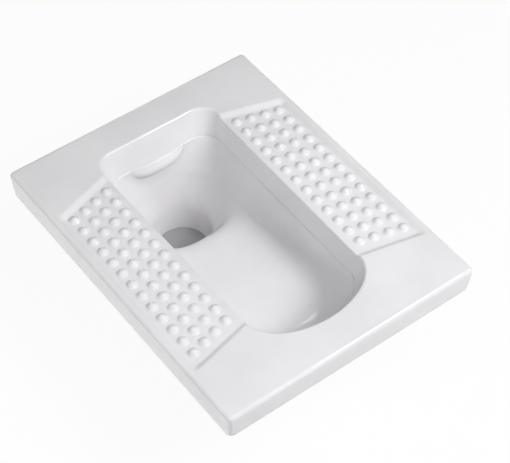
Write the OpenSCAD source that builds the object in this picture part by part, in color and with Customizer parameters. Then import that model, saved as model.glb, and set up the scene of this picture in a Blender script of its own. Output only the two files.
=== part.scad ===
// Squat toilet pan in glazed vitreous china.
// X runs across the two footrests, +Y towards the flush inlet, +Z up.
// The origin is on the floor that the pan stands on, under the middle of the deck.
// Depths are measured down from the top of the deck.

/* [Deck] */
// Width of the deck, across both footrests
deck_w = 430; // [424:1:460]
// Length of the deck, from front to back
deck_l = 545; // [500:1:600]
// Height of the deck above the end of the outlet
pan_h = 200; // [180:1:240]
// Thickness of the deck plate
deck_t = 12; // [10:1:14]
// Height of the skirt round the deck, plate included
skirt_h = 45; // [42:1:60]
// Thickness of the skirt
skirt_t = 9; // [7:1:11]
// Radius of the upright corners of the deck
corner_r = 5; // [3:1:12]
// Radius of the rounded top edge of the deck
edge_r = 6; // [3:1:8]

/* [Mouth] */
// Width of the mouth at its back
mouth_w = 208; // [200:1:214]
// Width of the mouth where its round front end begins
mouth_nose_w = 200; // [190:1:204]
// Deck left between the mouth and the back edge
mouth_back_gap = 56.5; // [50:0.5:64]
// Deck left between the mouth and the front edge
mouth_front_gap = 55.5; // [50:0.5:64]
// Length of the half ellipse at the front of the mouth
mouth_nose_l = 62; // [54:1:80]
// Radius of the two back corners of the mouth
mouth_corner_r = 30; // [24:1:36]

/* [Footrests] */
// How far the tread lies below the deck
tread_sink = 3; // [2:0.5:5]
// Deck side to the outer edge of the tread
tread_border = 18; // [14:1:22]
// Width of the slope from the deck down to the tread
tread_slope_w = 8; // [4:1:10]
// Back of the mouth to the inner back corner of the tread
tread_back_in = 28; // [24:1:40]
// How much further forward the tread's outer back corner lies
tread_back_slant = 28; // [10:1:34]
// How much further forward the tread's outer front corner lies
tread_front_slant = 23; // [10:1:28]
// Diameter of a grip stud at its base
stud_d = 19; // [14:0.5:20]
// Height of a grip stud above the tread
stud_h = 4.5; // [3:0.5:6]
// Number of stud columns on each tread
stud_cols = 4; // [2:1:4]
// Number of stud rows on each tread
stud_rows = 13; // [6:1:13]
// Side of the mouth to the first column of studs
stud_in = 15; // [12:0.5:17]
// Last column of studs to the outer edge of the tread
stud_out = 11; // [10.5:0.5:13]
// Back edge of the tread to the first stud
stud_back = 23; // [16:0.5:26]
// Last stud to the front edge of the tread
stud_front = 27; // [16:0.5:30]

/* [Flushing rim] */
// Depth of the lower edge of the rim wall
rim_depth = 42; // [38:1:44]
// Thickness of the rim wall
rim_t = 8; // [6:1:10]
// How far the rim wall leans in at the sides
rim_lean_side = 7; // [4:1:10]
// How far the rim wall leans in at the back
rim_lean_back = 16; // [10:1:20]
// How far the rim wall leans in at the front
rim_lean_front = 19; // [12:1:24]
// Length of the half ellipse at the front of the rim's lower edge
rim_nose_l = 48; // [42:1:54]
// Clear width of the flush channel at the sides
channel_w = 12; // [10:1:14]
// Clear width of the flush channel at the back, where the water enters
channel_back_w = 16; // [14:1:20]
// Clear width of the flush channel at the front
channel_front_w = 13; // [10:1:14]
// Radius of the two back corners of the rim box
box_corner_r = 50; // [46:1:54]
// Length of the half ellipse at the front of the rim box
box_nose_l = 80; // [74:1:86]
// Width of the spreader
spreader_w = 98; // [80:1:110]
// How far the middle of the spreader stands out from the rim's lower edge
spreader_reach = 25; // [18:1:30]
// How far the spreader's ends lie behind its middle
spreader_bow = 8; // [4:1:12]
// Thickness of the spreader
spreader_t = 8; // [6:1:10]
// How far the spreader's apron stands behind the rim wall
apron_in = 4; // [2:1:6]
// Height left between the apron and the seam of the bowl
apron_gap = 10; // [6:1:16]

/* [Bowl] */
// Thickness of the wall of the rim box and the bowl
shell_t = 8; // [7:1:10]
// Depth of the seam between the rim box and the bowl
seam_depth = 82; // [80:1:84]
// Depth of the tray at its front
tray_front_depth = 86; // [86:1:92]
// Depth of the tray at its back, where the funnel begins
tray_back_depth = 105; // [98:1:112]
// Front of the mouth to the front of the tray's floor
tray_front_in = 97; // [90:1:110]
// Length of the funnel's upper end
funnel_l = 121; // [110:1:128]
// Back of the mouth to the middle of the outlet
outlet_back_in = 77; // [74:1:84]

/* [Outlet] */
// Length of the outlet spigot
outlet_l = 42; // [42:1:50]
// Outer diameter of the outlet spigot
outlet_d = 100; // [96:1:104]
// Thickness of the outlet spigot's wall
outlet_t = 8; // [7:1:9]
// Height of the bead round the top of the spigot
outlet_bead_h = 5; // [3:1:7]
// How far the bead stands out
outlet_bead_t = 2.5; // [1.5:0.5:4]
// Depth of the seat that the outlet seal sits in
outlet_seat_t = 1; // [0.5:0.5:2]

/* [Inlet] */
// Outer diameter of the inlet horn
horn_d = 62; // [58:1:64]
// Bore of the inlet horn
horn_bore_d = 44; // [40:1:46]
// Length of the inlet horn outside the rim box
horn_l = 20; // [12:1:20]
// Height left between the deck plate and the horn
horn_drop = 4; // [3.5:0.5:6]
// Clearance between the horn and the arch in the skirt
horn_clear = 2.5; // [1:0.5:3]
// Outer diameter of the flush pipe that the seal grips
pipe_d = 32; // [30:1:34]

/* [Seals] */
// Diameter of the inlet seal's flange
seal_flange_d = 56; // [52:1:58]
// Thickness of the inlet seal's flange
seal_flange_t = 4; // [3:0.5:4]
// How far the inlet seal reaches into the horn
seal_reach = 23; // [18:1:26]
// Number of fins on the inlet seal
seal_fins = 3; // [2:1:4]
// Height of one fin of the inlet seal
seal_fin_h = 3; // [2:0.5:4]
// How far the fins stand out of the inlet seal
seal_fin_t = 1.8; // [1:0.2:2.4]
// Height of the outlet seal
ring_h = 12; // [8:1:14]
// Thickness of the outlet seal's band
ring_t = 2.5; // [2:0.5:3.5]
// How far the outlet seal's lip stands out of its band
ring_lip = 3; // [2:0.5:4]
// Height of the outlet seal above the end of the spigot
ring_up = 17; // [14:1:20]

/* [Ribs and feet] */
// Thickness of a rib under the treads
rib_t = 8; // [6:1:12]
// Height of a rib where it meets the rim box
rib_h = 28; // [22:1:29]
// Height of a rib where it meets the skirt
rib_end_h = 20; // [14:1:22]
// Distance from one rib to the next
rib_pitch = 110; // [80:1:130]
// Diameter of a foot's leg
leg_d = 36; // [30:1:40]
// Diameter of a foot's pad
pad_d = 52; // [46:1:60]
// Thickness of a foot's pad
pad_h = 10; // [6:1:14]
// Side of the mouth to the middle of a foot
foot_side_in = 44; // [42:1:50]
// Front of the mouth to the middle of a foot
foot_front_in = 112; // [104:1:125]

/* [Hidden] */

$fn = 96;
china = [0.93, 0.935, 0.945];
rubber = [0.09, 0.09, 0.1];

// Segments of a section outline: one back corner, one side and the front half ellipse
corner_steps = 6;
side_steps = 4;
nose_steps = 18;
// Sections between the two ends of the tray's floor
tray_steps = 4;
// Overshoot of a cut past the face that it starts from
cut = 1;
// Thickness of the two slices that the slope round a tread is stretched between
slice = 0.01;
// Straight left on the sides of a round section, so that no two points of its outline coincide
flat = 0.5;
// Clearance of a rubber fin or ring in its seat
seal_clear = 0.2;

mouth_back = deck_l / 2 - mouth_back_gap;
mouth_front = mouth_front_gap - deck_l / 2;
mouth_half = mouth_w / 2;
mouth_nose_in = (mouth_w - mouth_nose_w) / 2;
outlet_y = mouth_back - outlet_back_in;
outlet_r = outlet_d / 2;
outlet_bore_r = outlet_r - outlet_t;

// A section is [depth, inset at the sides, inset at the sides of the nose, inset at the back,
// inset at the front, corner radius, nose length], with the insets measured from the mouth.
function mix(a, b, t) = a + (b - a) * t;
// The section one wall further out, and lower by drop
function grow(s, wall, drop) =
    [s[0] + drop, s[1] - wall, s[2] - wall, s[3] - wall, s[4] - wall, s[5] + wall, s[6] + wall];

// Mouth and rim wall
mouth_sec = [0, 0, mouth_nose_in, 0, 0, mouth_corner_r, mouth_nose_l];
rim_low_sec = [
    rim_depth, rim_lean_side, mouth_nose_in + rim_lean_side, rim_lean_back, rim_lean_front,
    mouth_corner_r, rim_nose_l
];
function rim_sec(depth) = mix(mouth_sec, rim_low_sec, depth / rim_depth);

// Rim box: an upright wall, a shoulder that comes in under the rim, a ledge and a wall to the seam
box_side = -(rim_t + channel_w);
box_back = -(rim_t + channel_back_w);
box_front = -(rim_t + channel_front_w);
box_top_sec = [deck_t, box_side, box_side, box_back, box_front, box_corner_r, box_nose_l];
box_low_sec = [rim_depth + 2, box_side, box_side, box_back, box_front, box_corner_r, box_nose_l];
// Rim's lower edge to the shoulder and to the ledge, and the seam to the foot of the wall
shoulder_drop = 16;
ledge_drop = 26;
foot_rise = 6;
//              depth                      sides  nose  back          front  corner  nose length
shoulder_sec = [rim_depth + shoulder_drop, 0,     2,    box_back + 2, 5,     45,     62];
ledge_sec =    [rim_depth + ledge_drop,    7,     8,    box_back + 6, 17,    40,     62];
foot_sec =     [seam_depth - foot_rise,    11,    12,   10,           29,    34,     66];
seam_sec =     [seam_depth,                12,    18,   11,           51,    42,     76];
box_inner = [box_top_sec, box_low_sec, shoulder_sec, ledge_sec, foot_sec, seam_sec];

// The bowl's wall is a little thicker than the box's, and the seam's land is wider at both ends
bowl_t = shell_t + 1;
land_back = 8;
land_front = 15;
seam_outer_sec = grow(seam_sec, bowl_t, 0) - [0, 0, 0, land_back, land_front, 0, 0];
box_outer = [
    grow(box_top_sec, shell_t, 0), grow(box_low_sec, shell_t, 2), grow(shoulder_sec, shell_t, 4),
    grow(ledge_sec, shell_t, 6), seam_outer_sec
];

// Bowl: a tray that slopes down to the back, and a funnel from its end to the outlet
funnel_depth = pan_h - outlet_l;
function round_sec(depth, r) = [
    depth, mouth_half - r, mouth_half - r, mouth_back - outlet_y - r, outlet_y - r - mouth_front,
    r - flat, r - flat
];
funnel_back_in = outlet_back_in - funnel_l / 2;
funnel_front_in = outlet_y - funnel_l / 2 - mouth_front;
funnel_r = funnel_l / 2 - flat;
//                depth             sides  nose  back            front            corner    nose length
tray_front_sec = [tray_front_depth, 13,    21,   11.5,           tray_front_in,   50,       95];
tray_back_sec =  [tray_back_depth,  18,    18,   funnel_back_in, funnel_front_in, funnel_r, funnel_r - 1];
// The tray ends in a small lip above the funnel
lip_in = 2.5;
lip_h = 5;
lip_sec = grow(tray_back_sec, -lip_in, lip_h);
function tray(front, back) = [for (i = [0 : tray_steps]) mix(front, back, i / tray_steps)];
bowl_inner = concat(
    [seam_sec], tray(tray_front_sec, tray_back_sec), [lip_sec, round_sec(funnel_depth, outlet_bore_r)]
);
bowl_outer = concat(
    [seam_outer_sec],
    tray(grow(tray_front_sec, bowl_t, shell_t), grow(tray_back_sec, bowl_t, shell_t)),
    [round_sec(funnel_depth, outlet_r)]
);

// Points of a section, counterclockwise seen from above
function arc(x, y, rx, ry, from, to, steps, last) = [
    for (i = [0 : last])
        let (a = from + (to - from) * i / steps)
        [x + rx * cos(a), y + ry * sin(a)]
];
function outline(s) = let (
    half = mouth_half - s[1],
    nose_half = mouth_half - s[2],
    back = mouth_back - s[3],
    nose_y = mouth_front + s[4] + s[6],
    r = s[5],
    side = [for (i = [0 : side_steps - 1]) mix([nose_half, nose_y], [half, back - r], i / side_steps)]
) concat(
    side,
    arc(half - r, back - r, r, r, 0, 90, corner_steps, corner_steps),
    arc(r - half, back - r, r, r, 90, 180, corner_steps, corner_steps),
    [for (i = [side_steps - 1 : -1 : 1]) [-side[i].x, side[i].y]],
    arc(0, nose_y, nose_half, s[6], 180, 360, nose_steps, nose_steps - 1)
);
function ring(s) = [for (p = outline(s)) [p.x, p.y, pan_h - s[0]]];
function flip(list) = [for (i = [len(list) - 1 : -1 : 0]) list[i]];
function joined(rings) = [for (r = rings) each r];
// Two triangles between each pair of neighbouring points on two rings
function band(a, b, m) = [
    for (j = [0 : m - 1])
        let (k = (j + 1) % m)
        each [[a + j, b + j, b + k], [a + j, b + k, a + k]]
];

// Wall between an inner and an outer run of sections, both listed from the top down
module shell(inner, outer) {
    rings = [for (s = concat(inner, flip(outer))) ring(s)];
    m = len(rings[0]);
    n = len(rings);
    polyhedron(
        points = joined(rings),
        faces = [for (i = [0 : n - 1]) each band(i * m, ((i + 1) % n) * m, m)]
    );
}

// Solid that fills a run of sections, listed from the top down
module filled(sections) {
    rings = [for (s = flip(sections)) ring(s)];
    m = len(rings[0]);
    n = len(rings);
    polyhedron(
        points = joined(rings),
        faces = concat(
            [[for (j = [0 : m - 1]) j]],
            [for (i = [0 : n - 2]) each band(i * m, (i + 1) * m, m)],
            [[for (j = [m - 1 : -1 : 0]) (n - 1) * m + j]]
        )
    );
}

// What the mouth takes out of the deck plate and the treads
module mouth_cut() {
    filled([rim_sec(-cut), rim_sec(deck_t + cut)]);
}

// Upright rectangle with its two top corners rounded
module rounded_top(w, h, r) {
    translate([-w / 2, 0]) square([w, h - r]);
    translate([r - w / 2, 0]) square([w - 2 * r, h]);
    for (side = [-1, 1]) {
        translate([side * (w / 2 - r), h - r]) circle(r);
    }
}

module rounded_plan(w, l, r) {
    square([w - 2 * r, l], center = true);
    square([w, l - 2 * r], center = true);
    for (x = [-1, 1], y = [-1, 1]) {
        translate([x * (w / 2 - r), y * (l / 2 - r)]) circle(r);
    }
}

module deck_blank() {
    translate([0, 0, pan_h - skirt_h]) intersection() {
        linear_extrude(skirt_h) rounded_plan(deck_w, deck_l, corner_r);
        rotate([90, 0, 0])
            linear_extrude(deck_l + 2 * cut, center = true) rounded_top(deck_w, skirt_h, edge_r);
        rotate([90, 0, 90])
            linear_extrude(deck_w + 2 * cut, center = true) rounded_top(deck_l, skirt_h, edge_r);
    }
}

// Tread outline: its inner end runs on into the mouth, which cuts it back
tread_half = deck_w / 2 - tread_border;
tread_w = tread_half - mouth_half;
tread_back = mouth_back - tread_back_in;
tread_front = mouth_front + mouth_nose_l;
back_fall = tread_back_slant / tread_w;
front_fall = tread_front_slant / tread_w;
tread_t = deck_t - tread_sink;
// The outline runs on past the leaning side of the mouth
tread_overrun = 14;
tread_root = mouth_half - tread_overrun;
function back_edge(x) = tread_back - back_fall * (x - mouth_half);
function front_edge(x) = tread_front - front_fall * (x - mouth_half);

module tread_plan(slope) {
    polygon([
        [tread_root, back_edge(tread_root) + slope],
        [tread_root, front_edge(tread_root)],
        [tread_half + slope, front_edge(tread_half + slope)],
        [tread_half + slope, back_edge(tread_half + slope) + slope]
    ]);
}

// Pocket for the right tread, with its slope up to the deck
module tread_pocket() {
    hull() {
        translate([0, 0, pan_h - tread_sink]) linear_extrude(slice) tread_plan(0);
        translate([0, 0, pan_h]) linear_extrude(slice) tread_plan(tread_slope_w);
    }
    translate([0, 0, pan_h - deck_t - cut]) linear_extrude(deck_t) tread_plan(0);
}

// The horn runs just under the deck plate, and its bore goes on through the leaning back of the box
horn_r = horn_d / 2;
horn_depth = deck_t + horn_drop + horn_r;
box_back_y = mouth_back - box_back + shell_t;
horn_end_y = box_back_y + horn_l;
horn_root_y = box_back_y - 3 * shell_t;

// Upright cylinder laid along the horn's axis, from y0 to y1
module along_horn(r, y0, y1) {
    translate([0, y0, pan_h - horn_depth]) rotate([-90, 0, 0]) cylinder(r = r, h = y1 - y0);
}

module deck() {
    color(china) difference() {
        deck_blank();
        translate([skirt_t - deck_w / 2, skirt_t - deck_l / 2, pan_h - skirt_h - cut])
            cube([deck_w - 2 * skirt_t, deck_l - 2 * skirt_t, skirt_h - deck_t + cut]);
        mouth_cut();
        tread_pocket();
        mirror([1, 0, 0]) tread_pocket();
        along_horn(horn_r + horn_clear, deck_l / 2 - skirt_t - cut, deck_l / 2 + cut);
    }
}

// A stud is the cap of a sphere, rooted in the tread
stud_r = stud_d / 2;
stud_ball_r = (stud_r * stud_r + stud_h * stud_h) / (2 * stud_h);
stud_root = 1;
stud_x = mouth_half + stud_in;
stud_pitch_x = (tread_half - stud_out - stud_x) / (stud_cols - 1);
stud_y = back_edge(stud_x) - stud_back;
stud_pitch_y = (stud_y - front_edge(stud_x) - stud_front) / (stud_rows - 1);
stud_fall = stud_pitch_x * (back_fall + front_fall) / 2;

module stud() {
    rotate_extrude($fn = 48) intersection() {
        translate([0, stud_h - stud_ball_r]) circle(stud_ball_r);
        translate([0, -stud_root]) square([stud_ball_r, stud_h + stud_root]);
    }
}

module tread() {
    difference() {
        translate([0, 0, pan_h - deck_t]) linear_extrude(tread_t) tread_plan(0);
        mouth_cut();
    }
    for (col = [0 : stud_cols - 1], row = [0 : stud_rows - 1]) {
        x = stud_x + col * stud_pitch_x;
        y = stud_y - col * stud_fall - row * stud_pitch_y;
        translate([x, y, pan_h - tread_sink]) stud();
    }
}

module right_tread() {
    color(china) tread();
}

module left_tread() {
    color(china) mirror([1, 0, 0]) tread();
}

module rim_wall() {
    color(china) shell(
        [rim_sec(deck_t), rim_low_sec],
        [grow(rim_sec(deck_t), rim_t, 0), grow(rim_low_sec, rim_t, 0)]
    );
}

module rim_box() {
    color(china) difference() {
        shell(box_inner, box_outer);
        along_horn(horn_bore_d / 2, horn_root_y, horn_end_y);
    }
}

// Lip under the back of the rim wall, with an apron behind it that turns the water aside
rim_low_back = mouth_back - rim_lean_back;
spreader_front = rim_low_back - spreader_reach;
spreader_back = rim_low_back + rim_t + apron_in;
apron_depth = seam_depth - apron_gap;
bow_r = (pow(spreader_w / 2, 2) + pow(spreader_bow, 2)) / (2 * spreader_bow);

module spreader() {
    color(china) {
        translate([0, 0, pan_h - rim_depth - spreader_t]) linear_extrude(spreader_t) intersection() {
            translate([-spreader_w / 2, spreader_front]) square([spreader_w, spreader_back - spreader_front]);
            translate([0, spreader_front + bow_r]) circle(bow_r, $fn = 180);
        }
        translate([-spreader_w / 2, spreader_back - spreader_t, pan_h - apron_depth])
            cube([spreader_w, spreader_t, apron_depth - rim_depth]);
    }
}

module bowl() {
    color(china) shell(bowl_inner, bowl_outer);
}

module outlet_spigot() {
    color(china) translate([0, outlet_y, 0]) difference() {
        union() {
            cylinder(r = outlet_r, h = ring_up);
            cylinder(r = outlet_r - outlet_seat_t, h = outlet_l);
            translate([0, 0, outlet_l - outlet_bead_h])
                cylinder(r = outlet_r + outlet_bead_t, h = outlet_bead_h);
        }
        translate([0, 0, -cut]) cylinder(r = outlet_bore_r, h = outlet_l + 2 * cut);
    }
}

module inlet_horn() {
    color(china) difference() {
        along_horn(horn_r, horn_root_y, horn_end_y);
        along_horn(horn_bore_d / 2, horn_root_y - cut, horn_end_y + cut);
        filled(box_outer);
    }
}

// Webs between the rim box and the skirt
rib_in = mouth_half - box_side + shell_t;
rib_out = deck_w / 2 - skirt_t;

module ribs() {
    for (i = [-1 : 1]) {
        translate([0, (mouth_back + mouth_front) / 2 + i * rib_pitch, pan_h - deck_t])
            rotate([90, 0, 0]) linear_extrude(rib_t, center = true)
                polygon([[rib_in, 0], [rib_out, 0], [rib_out, -rib_end_h], [rib_in, -rib_h]]);
    }
}

module right_ribs() {
    color(china) ribs();
}

module left_ribs() {
    color(china) mirror([1, 0, 0]) ribs();
}

// The leg's top is cut to the underside of the bowl
module foot() {
    difference() {
        translate([mouth_half - foot_side_in, mouth_front + foot_front_in, 0]) {
            cylinder(r = leg_d / 2, h = pan_h - tray_front_depth);
            cylinder(r = pad_d / 2, h = pad_h);
        }
        filled(bowl_outer);
    }
}

module right_foot() {
    color(china) foot();
}

module left_foot() {
    color(china) mirror([1, 0, 0]) foot();
}

// Finned bush in the horn, with a flange on its end
fin_r = horn_bore_d / 2 - seal_clear;
core_r = fin_r - seal_fin_t;
fin_pitch = (seal_reach - seal_fin_h) / seal_fins;

module inlet_seal() {
    color(rubber) difference() {
        union() {
            along_horn(core_r, horn_end_y - seal_reach, horn_end_y);
            for (i = [1 : seal_fins]) {
                fin_y = horn_end_y - i * fin_pitch;
                along_horn(fin_r, fin_y - seal_fin_h, fin_y);
            }
            along_horn(seal_flange_d / 2, horn_end_y, horn_end_y + seal_flange_t);
        }
        along_horn(pipe_d / 2, horn_end_y - seal_reach - cut, horn_end_y + seal_flange_t + cut);
    }
}

// Band in the spigot's seat, with a lip that opens towards the spigot's end
module outlet_seal() {
    band_in = outlet_r - outlet_seat_t + seal_clear;
    band_out = outlet_r + ring_t;
    color(rubber) translate([0, outlet_y, ring_up]) rotate_extrude() polygon([
        [band_in, 0],
        [band_out, 0],
        [band_out + ring_lip, ring_h / 2],
        [band_out, ring_h / 2 + ring_t],
        [band_out, ring_h],
        [band_in, ring_h]
    ]);
}

deck();
left_tread();
right_tread();
rim_wall();
rim_box();
spreader();
bowl();
outlet_spigot();
inlet_horn();
left_ribs();
right_ribs();
left_foot();
right_foot();
inlet_seal();
outlet_seal();
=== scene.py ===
"""Squat toilet pan in white glazed vitreous china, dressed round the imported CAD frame.

Sizes and places are in millimetres where nothing else is said, and turn to metres where they enter a mesh.
"""

import logging
import math
from collections.abc import Iterator, Sequence
from dataclasses import dataclass, field, replace
from enum import Enum

import bmesh
import bpy
from bpy.types import ID, Material, Mesh, Node, NodeSocket, NodeTree, Object, World
from mathutils import Matrix, Vector


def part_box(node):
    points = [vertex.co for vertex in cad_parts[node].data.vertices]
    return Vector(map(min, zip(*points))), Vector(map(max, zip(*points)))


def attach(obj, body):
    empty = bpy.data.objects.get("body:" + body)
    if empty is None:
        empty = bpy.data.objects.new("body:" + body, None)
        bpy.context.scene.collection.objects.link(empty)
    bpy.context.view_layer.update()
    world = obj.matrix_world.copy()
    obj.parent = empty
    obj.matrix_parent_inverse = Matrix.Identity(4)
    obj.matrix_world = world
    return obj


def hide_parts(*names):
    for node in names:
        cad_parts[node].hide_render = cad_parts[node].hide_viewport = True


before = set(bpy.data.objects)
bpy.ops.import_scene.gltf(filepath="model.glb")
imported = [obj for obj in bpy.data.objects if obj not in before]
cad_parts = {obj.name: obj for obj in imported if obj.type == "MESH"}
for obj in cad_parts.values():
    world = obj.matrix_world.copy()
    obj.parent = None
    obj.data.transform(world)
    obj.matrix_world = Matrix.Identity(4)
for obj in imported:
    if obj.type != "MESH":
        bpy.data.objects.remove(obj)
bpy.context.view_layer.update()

BMesh, BMVert = bmesh.types.BMesh, bmesh.types.BMVert
Profile = list[tuple[float, float, float]]  # corners as (across, up, rounding)
log = logging.getLogger("squat_pan")

MM = 0.001
ROOT = "root"
WELD = 1e-6  # vertices nearer than this, in metres, become one
ON_AXIS = 0.001  # a spun profile's radius at its axis, in millimetres, small enough to be welded
QUARTER = math.pi / 2
BORE_STEPS = 96  # sides of a bored hole
ROUND_BEVEL = 0.5  # a bevel's profile, where it is part of a circle
NO_STRETCH = 1e-6  # a straight stretch of wall under this share of its run is none
WHITE = (1.0, 1.0, 1.0, 1.0)
MIX_SHARE, MIX_A, MIX_B, MIX_OUT = 0, 6, 7, 2  # a colour mix node's sockets share their names


# ---- Small tools for nodes, meshes and numbers ----


def linear(hex_code: str) -> tuple[float, float, float, float]:
    """Turns an sRGB hex colour into linear values.

    Args:
        hex_code: Six hex digits, such as "EDEEF0".

    Returns:
        Linear red, green and blue, and an alpha of 1.
    """
    shares = [int(hex_code[i:i + 2], 16) / 255 for i in (0, 2, 4)]
    red, green, blue = (c / 12.92 if c <= 0.04045 else ((c + 0.055) / 1.055) ** 2.4 for c in shares)
    return red, green, blue, 1.0


def add_node(tree: NodeTree, kind: str, inputs: dict | None = None, **settings) -> Node:
    """Adds a node, with its settings, its socket values and its links.

    Args:
        tree: The node tree that gets the node.
        kind: The node's type, such as "ShaderNodeTexNoise".
        inputs: Socket name or index to a plain value, or to the output socket that feeds it.
        settings: Attributes of the node.

    Returns:
        The new node.
    """
    node = tree.nodes.new(kind)
    for name, value in settings.items():
        setattr(node, name, value)
    for key, value in (inputs or {}).items():
        if isinstance(value, NodeSocket):
            tree.links.new(value, node.inputs[key])
        else:
            node.inputs[key].default_value = value
    return node


def empty_tree(owner: Material | World) -> NodeTree:
    """Turns on the nodes of a material or a world, and clears them.

    Args:
        owner: The material or the world.

    Returns:
        Its empty node tree.
    """
    owner.use_nodes = True
    owner.node_tree.nodes.clear()
    return owner.node_tree


def add_object(name: str, data: ID) -> Object:
    """Adds an object to the scene.

    Args:
        name: The object's name.
        data: Its mesh, lamp or camera.

    Returns:
        The new object.
    """
    obj = bpy.data.objects.new(name, data)
    bpy.context.scene.collection.objects.link(obj)
    return obj


def mix_number(a: float, b: float, t: float) -> float:
    """Returns the value a share t of the way from a to b."""
    return a + (b - a) * t


def soft_ramp(t: float, soft: float) -> float:
    """Climbs from 0 at t = 0 to 1 at t = 1 in a straight ramp with rounded ends.

    Args:
        t: Where along the ramp.
        soft: Half the length of each rounded end, as a share of the ramp.

    Returns:
        The height, from 0 to 1.
    """
    if t > 0.5:
        return 1 - soft_ramp(1 - t, soft)
    if t <= -soft:
        return 0.0
    return t if t >= soft else (t + soft) ** 2 / (4 * soft)


def curve_points(start: Vector, corner: Vector, end: Vector, steps: int) -> list[Vector]:
    """Returns the points of a curve that rounds a corner off, from its start to its end."""
    shares = [i / steps for i in range(steps + 1)]
    return [start * (1 - t) ** 2 + corner * (2 * t * (1 - t)) + end * t ** 2 for t in shares]


def arc(x: float, y: float, radius: float, start: float, steps: int) -> list[tuple[float, float]]:
    """Returns the points of a quarter circle round (x, y), counterclockwise from a start in quarter turns."""
    angles = [QUARTER * (start + i / steps) for i in range(steps + 1)]
    return [(x + radius * math.cos(angle), y + radius * math.sin(angle)) for angle in angles]


def round_profile(points: Profile, steps: int) -> list[tuple[float, float]]:
    """Rounds the corners of a closed profile.

    Args:
        points: The profile's corners.
        steps: How many segments a rounded corner has.

    Returns:
        The profile as (across, up) points.
    """
    out: list[tuple[float, float]] = []
    for i, (x, y, rounding) in enumerate(points):
        if rounding <= 0:
            out.append((x, y))
            continue
        here = Vector((x, y))
        before, after = Vector(points[i - 1][:2]), Vector(points[(i + 1) % len(points)][:2])
        start = here + (before - here).normalized() * rounding
        end = here + (after - here).normalized() * rounding
        out += [(p.x, p.y) for p in curve_points(start, here, end, steps)]
    return out


def at(x: float, y: float, z: float) -> Matrix:
    """Returns a move to a place given in millimetres."""
    return Matrix.Translation(Vector((x, y, z)) * MM)


class Strip:
    """A ring of edges in a bmesh that is extruded row by row, each row laid on the points given."""

    def __init__(self, bm: BMesh, points: Sequence[Vector]) -> None:
        """Lays the first row.

        Args:
            bm: The mesh that gets the rows.
            points: The row's points.
        """
        self.bm = bm
        self.verts = [bm.verts.new(p * MM) for p in points]
        self.edges = [bm.edges.new(pair) for pair in self.pairs()]

    def pairs(self) -> Iterator[tuple[BMVert, BMVert]]:
        """Returns the last row's neighbouring vertices, two by two."""
        return zip(self.verts, self.verts[1:] + self.verts[:1])

    def extrude(self, points: Sequence[Vector]) -> None:
        """Extrudes the last row and lays the new one on the points given.

        Args:
            points: The new row's points, as many as in the first row.
        """
        made = bmesh.ops.extrude_edge_only(self.bm, edges=self.edges)["geom"]
        fresh = {v for v in made if isinstance(v, BMVert)}
        self.verts = [next(e.other_vert(v) for e in v.link_edges if e.other_vert(v) in fresh) for v in self.verts]
        for vert, point in zip(self.verts, points, strict=True):
            vert.co = point * MM
        self.edges = [self.bm.edges.get(pair) for pair in self.pairs()]


# ---- Finishes ----


class Slot(Enum):
    """The record's material slots."""

    GLAZED = "glazed_china"
    BARE = "unglazed_china"
    RUBBER = "seal_rubber"


Finishes = dict[Slot, Material]


@dataclass(frozen=True)
class Grain:
    """A noise in a finish: its size and detail, and the relief that it gives the surface."""

    size_mm: float
    detail: float
    rough: float = 0.5
    strength: float = 0.0
    height_mm: float = 0.0


@dataclass(frozen=True)
class Finish:
    """A procedural finish on object coordinates. Its first grain also mixes its two tones."""

    name: str
    colour: str
    tint: str
    roughness: float
    ior: float
    grains: tuple[Grain, ...]

    def look(self, tree: NodeTree, place: NodeSocket, tone: NodeSocket) -> dict[str, NodeSocket | float]:
        """Adds the nodes that colour the surface.

        Args:
            tree: The material's node tree.
            place: The object coordinates.
            tone: The first grain's noise.

        Returns:
            The shader's inputs for colour and roughness.
        """
        mixed = add_node(
            tree, "ShaderNodeMix", {MIX_SHARE: tone, MIX_A: linear(self.colour), MIX_B: linear(self.tint)},
            data_type="RGBA",
        )
        return {"Base Color": mixed.outputs[MIX_OUT], "Roughness": self.roughness}

    def material(self) -> Material:
        """Builds the material, with a noise for each grain and a bump for each that has relief.

        Returns:
            The new material.
        """
        material = bpy.data.materials.new(self.name)
        tree = empty_tree(material)
        place = add_node(tree, "ShaderNodeTexCoord").outputs["Object"]
        noises: list[NodeSocket] = []
        relief: dict[str, NodeSocket] = {}
        for grain in self.grains:
            scale = 1 / (grain.size_mm * MM)
            noises.append(add_node(
                tree, "ShaderNodeTexNoise",
                {"Vector": place, "Scale": scale, "Detail": grain.detail, "Roughness": grain.rough},
            ).outputs["Fac"])
            if grain.strength:
                bump = add_node(
                    tree, "ShaderNodeBump",
                    {"Height": noises[-1], "Strength": grain.strength, "Distance": grain.height_mm * MM, **relief},
                )
                relief = {"Normal": bump.outputs["Normal"]}
        look = self.look(tree, place, noises[0])
        shader = add_node(tree, "ShaderNodeBsdfPrincipled", {"IOR": self.ior, **look, **relief})
        add_node(tree, "ShaderNodeOutputMaterial", {"Surface": shader.outputs["BSDF"]})
        return material


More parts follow.
